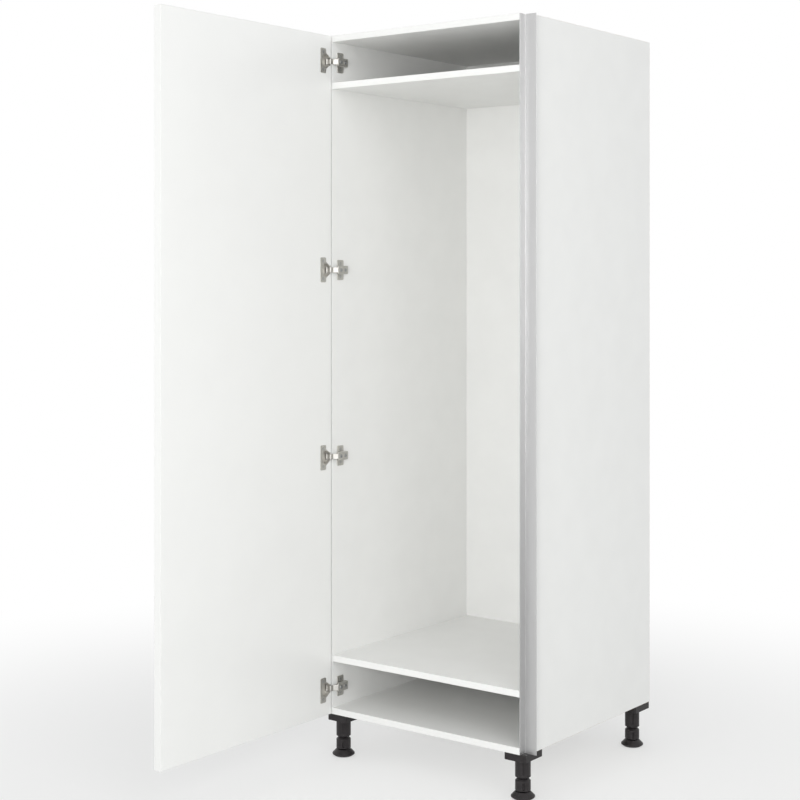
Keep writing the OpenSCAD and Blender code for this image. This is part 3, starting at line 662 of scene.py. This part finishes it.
def make_sockets(sizes, plastic):
    """Foot sockets: a cap flush with the side panel, hollow from below, with a hub and four ribs."""
    low, high = box_mm("foot_sockets")
    half, front, rear, wall, plate = 30.0, 31.0, 44.0, 3.0, 4.0
    hub, bore, rib, lap = 21.0, 15.1, 1.0, 0.5
    base, top, ceiling = low[2], high[2], high[2] - plate
    shell = rounded_line([(2.0, top), (0, top), (0, base), (wall, base), (wall, ceiling)], [0.5, 0.5, 0.4])
    ring = rounded(rectangle(bore, base, hub, ceiling + lap), [0.3, 0.4, 0.2, 0.2], 3)
    rib_ends = soft_ends(base + 0.3, ceiling + lap, 0.3, 0.05)
    middle = (low[0] + high[0]) / 2
    sockets = Shells()
    for x, y in foot_centres().values():
        side = low[0] + half if x < middle else high[0] - half
        outline = rounded(rectangle(side - half, y - front, side + half, y + rear), sizes.socket_corner / MM)
        sockets.add(loft(outline, shell))
        sockets.add(turned(ring, 72), at=(x, y, 0), ring_closed=True)
        reach = lap - wall
        for u0, v0, u1, v1 in ((hub - lap, -rib, half + side - x + reach, rib),
                               (side - x - half - reach, -rib, lap - hub, rib),
                               (-rib, hub - lap, rib, rear + reach), (-rib, -front - reach, rib, lap - hub)):
            sockets.add(loft(rounded(rectangle(u0, v0, u1, v1), 0.4, 2), rib_ends), at=(x, y, 0))
    sockets.piece("sockets", plastic, "carcass", "foot_plastic", "foot_sockets")


def make_feet(sizes, colours):
    """The four feet: sockets and sleeves on the carcass, and a threaded spindle and a disc each that move."""
    plastic = moulded_polypropylene("moulded_polypropylene", colours.polypropylene)
    make_sockets(sizes, plastic)
    low, high = box_mm("foot_sleeves")
    seat = box_mm("foot_sockets")[0][2]
    plug, bore, bore_top = 15.0, 10.05, 100.0
    corners = [(plug - 2, high[2]), (plug, high[2]), (plug, seat), (BARREL_R, seat), (BARREL_R, low[2]),
               (bore, low[2]), (bore, bore_top)]
    profile = resampled(rounded_line(corners, [0.5, 0.3, 0.6, 0.6, 0.6]), spacing=0.9, radius=BARREL_R)
    groove = slots(FOOT_TURN, count=1, width=2.4, depth=1.2, low=low[2] + 5.5, high=seat + 1.0,
                   radius=BARREL_R)
    sleeves = Shells()
    for place, (x, y) in foot_centres().items():
        at = (x, y, 0)
        sleeves.add(turned(profile, 180, groove), at=at)
        make_spindle(sizes, plastic, place, at)
        make_disc(plastic, place, at)
    sleeves.piece("sleeves", plastic, "carcass", "foot_plastic", "foot_sleeves")


def make_spindle(sizes, plastic, place, at):
    """Spindle: threaded stem, collar with a chamfer and four tool slots, and a neck that holds the disc."""
    node = "foot_spindle_" + place
    low, high = (corner[2] for corner in box_mm(node))
    collar_low, collar_high, bevel, neck = 20.0, 47.5, 5.0, 6.0
    corners = [(STEM_R - 2, high), (STEM_R, high - 1.2), (STEM_R, collar_high),
               (BARREL_R - bevel, collar_high), (BARREL_R, collar_high - bevel), (BARREL_R, collar_low),
               (neck, collar_low), (neck, low), (neck - 1.5, low)]
    profile = rounded_line(corners, [0.4, 0.4, 0.6, 0.8, 0.6, 0.4, 0.8])
    profile = resampled(profile, spacing=0.5, radius=STEM_R)
    profile = resampled(profile, spacing=0.6, radius=BARREL_R)
    cut = slots(FOOT_TURN, count=4, width=4.0, depth=3.0, low=collar_low + 3.5, high=collar_low + 18.5,
                radius=BARREL_R)
    turn = thread(sizes.thread_pitch / MM, sizes.thread_depth / MM, collar_high + 0.5, high - 1.2, STEM_R)
    spindle = Shells()
    spindle.add(turned(profile, 144, lambda r, z, t: turn(*cut(r, z, t), t)), at=at)
    spindle.piece("spindle_" + place, plastic, node, "foot_plastic", node)


def make_disc(plastic, place, at):
    """Base disc: a flared foot with a rounded rim, and a blind hole for the spindle's neck."""
    node = "foot_disc_" + place
    low, high = box_mm(node)
    rim, bottom, top, bore, hole = (high[0] - low[0]) / 2, low[2], high[2], 6.05, 6.9
    corners = [(rim - 8, bottom), (rim - 6, bottom), (rim, bottom + 4.25), (rim, bottom + 6.8),
               (BARREL_R, top), (bore, top), (bore, bottom + hole)]
    disc = Shells()
    disc.add(turned(rounded_line(corners, [0.8, 1.2, 1.2, 0.8, 0.5]), 96), at=at)
    disc.piece("disc_" + place, plastic, node, "foot_plastic", node)


def wing_outline():
    """Outline of the cup's mounting plate round the cup centre: two wings, a neck that narrows towards the
    arm, and the open mouth of the cup and its slot."""
    mouth, mouth_half = 16.3, 10.0
    front, neck, back = 14.5, 1.0, -21.0
    lip, narrow, wide, half = 8.3, 11.2, 20.7, 31.5
    side = [(front, lip), (front, narrow), (neck, wide), (neck, half), (back, half)]
    radii = [0.5, 0.9, 1.2, 3.5, 3.5]
    outer = side + [(u, -v) for u, v in side[::-1]]
    angle = math.asin(mouth_half / mouth)
    t = np.linspace(-angle, angle - 2 * math.pi, 48)
    arc = mouth * np.column_stack([np.cos(t), np.sin(t)])
    line = rounded_line([arc[-1], *outer, arc[0]], radii + radii[::-1])
    return np.vstack([line[1:-1], arc])


def make_hinges(sizes, colours):
    """Concealed hinges: cup and wings on the door; arm, knuckle and cross plate on the carcass."""
    nickel = plated_steel("nickel_plated_steel", colours.nickel, low=0.44, high=0.56, blotch=9.0)
    arris, end, lap = sizes.plate_arris / MM, 0.05, 0.3
    floor, back = -12.0, -12.95
    inner = keyhole(radius=16.3, half=8.0, reach=18.5, corner=1.5)
    outer = keyhole(radius=17.35, half=10.9, reach=19.4, corner=1.5)
    cup = np.stack([np.column_stack([loop, np.full(len(loop), x)]) for loop, x in (
        (inset(outer, 0.3), back), (outer, back + 0.3), (outer, -0.15), (inset(outer, 0.15), 0.0),
        (inset(inner, -0.2), 0.0), (inner, -0.2), (inner, floor + 0.8), (inset(inner, 0.24), floor + 0.24),
        (inset(inner, 0.8), floor))])
    wings = loft(wing_outline(), soft_ends(0.0, WING_T, end, arris))
    sheet, neck_x, crank_y, web_y, arm_end = 2.4, 3.2, -1.0, 8.0, 45.0
    web_x = ARM_TOP - sheet / 2
    line = [(PIN_X, PIN_Y), (neck_x, PIN_Y), (neck_x, crank_y), (web_x, web_y), (web_x, arm_end)]
    path = resampled(rounded_line(line, [1.3, 2.5, 3.0], 6), spacing=0.8)
    neck, arm_half, cheek = 7.0, 10.5, 6.7
    half_width = neck + (arm_half - neck) * step(path[:, 1], web_y - 1.5, web_y + 2.5)
    drop = end + cheek * step(path[:, 1], web_y + 1.5, web_y + 6)
    arm = channel(path, half_width, drop, sheet, fold=1.5)
    pin_hole, eye, half, reach = 1.58, 2.8, 12.0, 25.5
    knuckle = turned(rounded(rectangle(pin_hole, -neck, eye, neck), 0.3, 3), 48)
    plate = rounded(rectangle(PLATE_LINE - half, -reach, PLATE_LINE + half, reach), 3.0)
    saddle = rounded(rectangle(ADJUSTER_YS[0] - 6, -neck, arm_end - 4, neck), 2.0)
    plate_rings = loft(plate, soft_ends(0.0, PLATE_T, end, arris))
    saddle_rings = loft(saddle, soft_ends(PLATE_T - lap, ARM_TOP - sheet, end, 2 * arris))
    cups, arms, plates = Shells(), Shells(), Shells()
    for z in HINGE_HEIGHTS:
        at_cup = (LEFT_FACE, CUP_Y, z)
        cups.add(cup, at=at_cup, order="YZX")
        cups.add(wings, at=at_cup, order="YZX")
        arms.add(arm, at=(LEFT_FACE, 0, z))
        arms.add(knuckle, at=(LEFT_FACE + PIN_X, PIN_Y, z), ring_closed=True)
        plates.add(plate_rings, at=(LEFT_FACE, 0, z), order="YZX")
        plates.add(saddle_rings, at=(LEFT_FACE, 0, z), order="YZX")
    cups.piece("cups", nickel, "door", "hinge_nickel", "hinge_cups")
    arms.piece("arms", nickel, "carcass", "hinge_nickel", "hinge_arms")
    plates.piece("cross_plates", nickel, "carcass", "hinge_nickel", "hinge_plates")


def make_screws(sizes, colours):
    """Screws that show: on the cross plates, the cups and the arms. The others keep their CAD solids."""
    zinc = plated_steel("zinc_plated_steel", colours.zinc_plate, low=0.26, high=0.42, blotch=3.0)
    dome, wing_line = sizes.head_dome / MM, CUP_Y - 10
    # Height of a screw over or under the hinge centre, on a cross plate and on a cup's wings
    on_plate, on_wing = 16.0, 22.5
    plate_screw = countersunk(5.0, 13.5, head_d=8.0, dome=dome, recess_span=5.2, recess_depth=1.3)
    cup_screw = countersunk(3.5, 16.0, head_d=7.0, dome=dome, recess_span=4.6, recess_depth=1.2)
    rim = [(2.5, 0.0), (4.3, 0.0), (4.5, 0.2), (4.4, 1.3), (4.0, 1.6)]
    adjuster = screw(5.0, 9.0, rim, dome=0.35, recess_span=5.0, recess_depth=1.4)
    on_plates, on_cups, on_arms = Shells(), Shells(), Shells()
    for z in HINGE_HEIGHTS:
        for k in (-1, 1):
            on_plates.add(plate_screw, at=(LEFT_FACE + PLATE_T, PLATE_LINE, z + k * on_plate), order="YZX")
            on_cups.add(cup_screw, at=(LEFT_FACE + WING_T, wing_line, z + k * on_wing), order="YZX")
        for y in ADJUSTER_YS:
            on_arms.add(adjuster, at=(LEFT_FACE + ARM_TOP, y, z), order="YZX")
    on_plates.piece("plate_screws", zinc, "carcass", "steel", "hinge_plate_screws")
    on_cups.piece("cup_screws", zinc, "door", "steel", "hinge_cup_screws")
    on_arms.piece("arm_screws", zinc, "carcass", "steel", "hinge_adjusting_screws")
    for node in ("back_panel_screws", "wall_angle_screws", "foot_socket_screws", "hinge_pins", "cam_bolts",
                 "wall_angles"):
        dress(node, zinc)


def make_fittings(sizes, colours):
    """Domed caps over the cams, and finishes for the housings and dowels inside the boards."""
    dress("cam_housings", die_cast_zinc("die_cast_zinc", colours.die_cast))
    dress("board_dowels", fluted_beech("fluted_beech", colours.beech))
    rise, rim, lip, edge = sizes.cap_dome / MM, 8.5, 0.35, 8.2
    r = np.linspace(edge, 0.4, 12)
    dome = np.column_stack([r, lip + (rise - lip) * (1 - (r / edge) ** 2)])
    profile = np.vstack([[(7.2, -0.4), (8.1, -0.02), (rim, 0.05), (rim - 0.05, 0.25)], dome])
    cap = turned(profile, 48)
    low, high = box_mm("board_edge_bands")
    reach, depths = 34.0, (96.0, 470.0)
    caps = Shells()
    for z, side in BOARDS:
        face = z + BOARD_T if side > 0 else z
        for x in (low[0] + reach, high[0] - reach):
            for y in depths:
                caps.add(cap, at=(x, y, face), signs=(1, 1, side))
    caps.piece("caps", moulded_cap("moulded_cap", colours.cap), "carcass", "cap_plastic", "cam_caps")


# Studio


def sight(tree):
    """1 for the rays that show a thing, straight, in a gloss or through glass, and 0 for those that light."""
    rays = add_node(tree, "ShaderNodeLightPath").outputs
    seen = rays["Is Camera Ray"]
    for name in ("Is Glossy Ray", "Is Transmission Ray"):
        seen = add_node(tree, "ShaderNodeMath", {"operation": "MAXIMUM"},
                        links={0: seen, 1: rays[name]}).outputs[0]
    return seen


def studio_world():
    """Even white surroundings: 1 where the camera, a gloss or a glass ray sees them, less as a light."""
    world = bpy.data.worlds.new("studio_surroundings")
    bpy.context.scene.world = world
    world.use_nodes = True
    tree = world.node_tree
    tree.nodes.clear()
    seen = sight(tree)
    light = add_node(tree, "ShaderNodeBackground", values={"Color": (0.97, 0.985, 1.0, 1.0), "Strength": 0.6})
    white = add_node(tree, "ShaderNodeBackground", values={"Color": (1.0, 1.0, 1.0, 1.0), "Strength": 1.0})
    mix = add_node(tree, "ShaderNodeMixShader", links={0: seen, 1: light.outputs[0], 2: white.outputs[0]})
    add_node(tree, "ShaderNodeOutputWorld", links={"Surface": mix.outputs[0]})


def studio_floor(colour):
    """Pale floor that keeps a light shadow near the unit and fades to white further out."""
    size = 14.0
    mesh = bpy.data.meshes.new("studio_floor")
    corners = [(-size, -size, 0), (size, -size, 0), (size, size, 0), (-size, size, 0)]
    mesh.from_pydata(corners, [], [(0, 1, 2, 3)])
    floor = bpy.data.objects.new("studio_floor", mesh)
    bpy.context.collection.objects.link(floor)
    material = bpy.data.materials.new("matt_studio_floor")
    material.use_nodes = True
    tree = material.node_tree
    tree.nodes.clear()
    coords = add_node(tree, "ShaderNodeTexCoord").outputs["Object"]
    far = add_node(tree, "ShaderNodeVectorMath", {"operation": "LENGTH"}, links={0: coords}).outputs["Value"]
    fade = add_node(tree, "ShaderNodeMapRange", {"interpolation_type": "SMOOTHSTEP"},
                    values={"From Min": 0.6, "From Max": 2.4, "To Min": 0.5, "To Max": 1.0},
                    links={"Value": far}).outputs["Result"]
    seen = sight(tree)
    fade = add_node(tree, "ShaderNodeMath", {"operation": "MULTIPLY"}, links={0: fade, 1: seen}).outputs[0]
    matt = add_node(tree, "ShaderNodeBsdfDiffuse", values={"Color": colour})
    white = add_node(tree, "ShaderNodeEmission", values={"Color": (1.0, 1.0, 1.0, 1.0), "Strength": 1.0})
    mix = add_node(tree, "ShaderNodeMixShader", links={0: fade, 1: matt.outputs[0], 2: white.outputs[0]})
    add_node(tree, "ShaderNodeOutputMaterial", links={"Surface": mix.outputs[0]})
    mesh.materials.append(material)


def soft_box(name, place, target, size, power):
    """Square area lamp at place that looks at target. Places and size are in metres, power is in watts."""
    data = bpy.data.lights.new(name, "AREA")
    data.shape = "SQUARE"
    data.size = size
    data.energy = power
    lamp = bpy.data.objects.new(name, data)
    bpy.context.collection.objects.link(lamp)
    lamp.location = place
    lamp.rotation_euler = (Vector(target) - Vector(place)).to_track_quat("-Z", "Y").to_euler()


def photograph_camera():
    """Camera found from the drawing's two vanishing points: level, at eye height, with its horizon 123 pixels
    above the middle of the 800 pixel picture, which the shift gives."""
    picture, focal, right, down, sensor = 800, 1566.8, -2.2, -123.25, 36.0
    place, turn = (2.2803, -3.0599, 1.2237), math.radians(37.47)
    data = bpy.data.cameras.new("camera")
    data.sensor_width = sensor
    data.lens = focal / picture * sensor
    data.shift_x = right / picture
    data.shift_y = down / picture
    data.clip_start, data.clip_end = 0.1, 60.0
    camera = bpy.data.objects.new("camera", data)
    bpy.context.collection.objects.link(camera)
    camera.location = place
    camera.rotation_euler = (math.pi / 2, 0.0, turn)
    bpy.context.scene.camera = camera


def build_studio(colours):
    """Floor, surroundings, three soft boxes and the camera."""
    studio_world()
    studio_floor(colours.floor)
    middle = (0.0, 0.0, 0.95)
    soft_box("key_light", (3.9, -2.4, 2.9), middle, size=2.6, power=50.0)
    soft_box("front_light", (0.9, -5.0, 1.5), middle, size=3.0, power=32.0)
    soft_box("fill_light", (2.0, -3.9, 1.3), middle, size=1.2, power=48.0)
    photograph_camera()
    bpy.context.scene.view_settings.view_transform = "Standard"


# Add-on


class HousingBoards(bpy.types.Operator):
    """Finish the carcass boards and the back panel"""
    bl_idname = "housing.boards"
    bl_label = "Boards"
    bl_options = {"REGISTER"}

    def execute(self, context):
        dress_boards(context.scene.housing_colours)
        return {"FINISHED"}


class HousingBands(bpy.types.Operator):
    """Make the edge bands of the carcass"""
    bl_idname = "housing.bands"
    bl_label = "Edge bands"
    bl_options = {"REGISTER"}

    def execute(self, context):
        make_edge_bands(context.scene.housing_sizes, context.scene.housing_colours)
        return {"FINISHED"}


class HousingDoor(bpy.types.Operator):
    """Finish the door and make its bands"""
    bl_idname = "housing.door"
    bl_label = "Door"
    bl_options = {"REGISTER"}

    def execute(self, context):
        make_door(context.scene.housing_sizes, context.scene.housing_colours)
        return {"FINISHED"}


class HousingProfile(bpy.types.Operator):
    """Make the finger profile"""
    bl_idname = "housing.profile"
    bl_label = "Finger profile"
    bl_options = {"REGISTER"}

    def execute(self, context):
        make_profile(context.scene.housing_sizes, context.scene.housing_colours)
        return {"FINISHED"}


class HousingFeet(bpy.types.Operator):
    """Make the adjustable feet"""
    bl_idname = "housing.feet"
    bl_label = "Feet"
    bl_options = {"REGISTER"}

    def execute(self, context):
        make_feet(context.scene.housing_sizes, context.scene.housing_colours)
        return {"FINISHED"}


class HousingHinges(bpy.types.Operator):
    """Make the concealed hinges"""
    bl_idname = "housing.hinges"
    bl_label = "Hinges"
    bl_options = {"REGISTER"}

    def execute(self, context):
        make_hinges(context.scene.housing_sizes, context.scene.housing_colours)
        return {"FINISHED"}


class HousingScrews(bpy.types.Operator):
    """Make the screws that show and finish the others"""
    bl_idname = "housing.screws"
    bl_label = "Screws"
    bl_options = {"REGISTER"}

    def execute(self, context):
        make_screws(context.scene.housing_sizes, context.scene.housing_colours)
        return {"FINISHED"}


class HousingFittings(bpy.types.Operator):
    """Make the cam caps and finish the board fittings"""
    bl_idname = "housing.fittings"
    bl_label = "Board fittings"
    bl_options = {"REGISTER"}

    def execute(self, context):
        make_fittings(context.scene.housing_sizes, context.scene.housing_colours)
        return {"FINISHED"}


class HousingStudio(bpy.types.Operator):
    """Set up the floor, the lamps and the camera"""
    bl_idname = "housing.studio"
    bl_label = "Studio"
    bl_options = {"REGISTER"}

    def execute(self, context):
        build_studio(context.scene.housing_colours)
        return {"FINISHED"}


STEPS = (HousingBoards, HousingBands, HousingDoor, HousingProfile, HousingFeet, HousingHinges, HousingScrews,
         HousingFittings, HousingStudio)


class HousingPanel(bpy.types.Panel):
    """Steps, sizes and colours of the unit in the sidebar."""
    bl_idname = "VIEW3D_PT_housing"
    bl_label = "Fridge housing unit"
    bl_space_type = "VIEW_3D"
    bl_region_type = "UI"
    bl_category = "Housing"

    def draw(self, context):
        column = self.layout.column(align=True)
        for operator in STEPS:
            column.operator(operator.bl_idname)
        groups = {"Sizes": context.scene.housing_sizes, "Colours": context.scene.housing_colours}
        for title, group in groups.items():
            box = self.layout.box()
            box.label(text=title)
            for key in group.__annotations__:
                box.prop(group, key)


CLASSES = (HousingSizes, HousingColours, *STEPS, HousingPanel)


def register():
    for cls in CLASSES:
        bpy.utils.register_class(cls)
    bpy.types.Scene.housing_sizes = bpy.props.PointerProperty(type=HousingSizes)
    bpy.types.Scene.housing_colours = bpy.props.PointerProperty(type=HousingColours)


def unregister():
    del bpy.types.Scene.housing_colours
    del bpy.types.Scene.housing_sizes
    for cls in reversed(CLASSES):
        bpy.utils.unregister_class(cls)


def main():
    """Runs every step in order."""
    register()
    for operator in STEPS:
        group, name = operator.bl_idname.split(".")
        getattr(getattr(bpy.ops, group), name)()


if __name__ == "__main__":
    main()
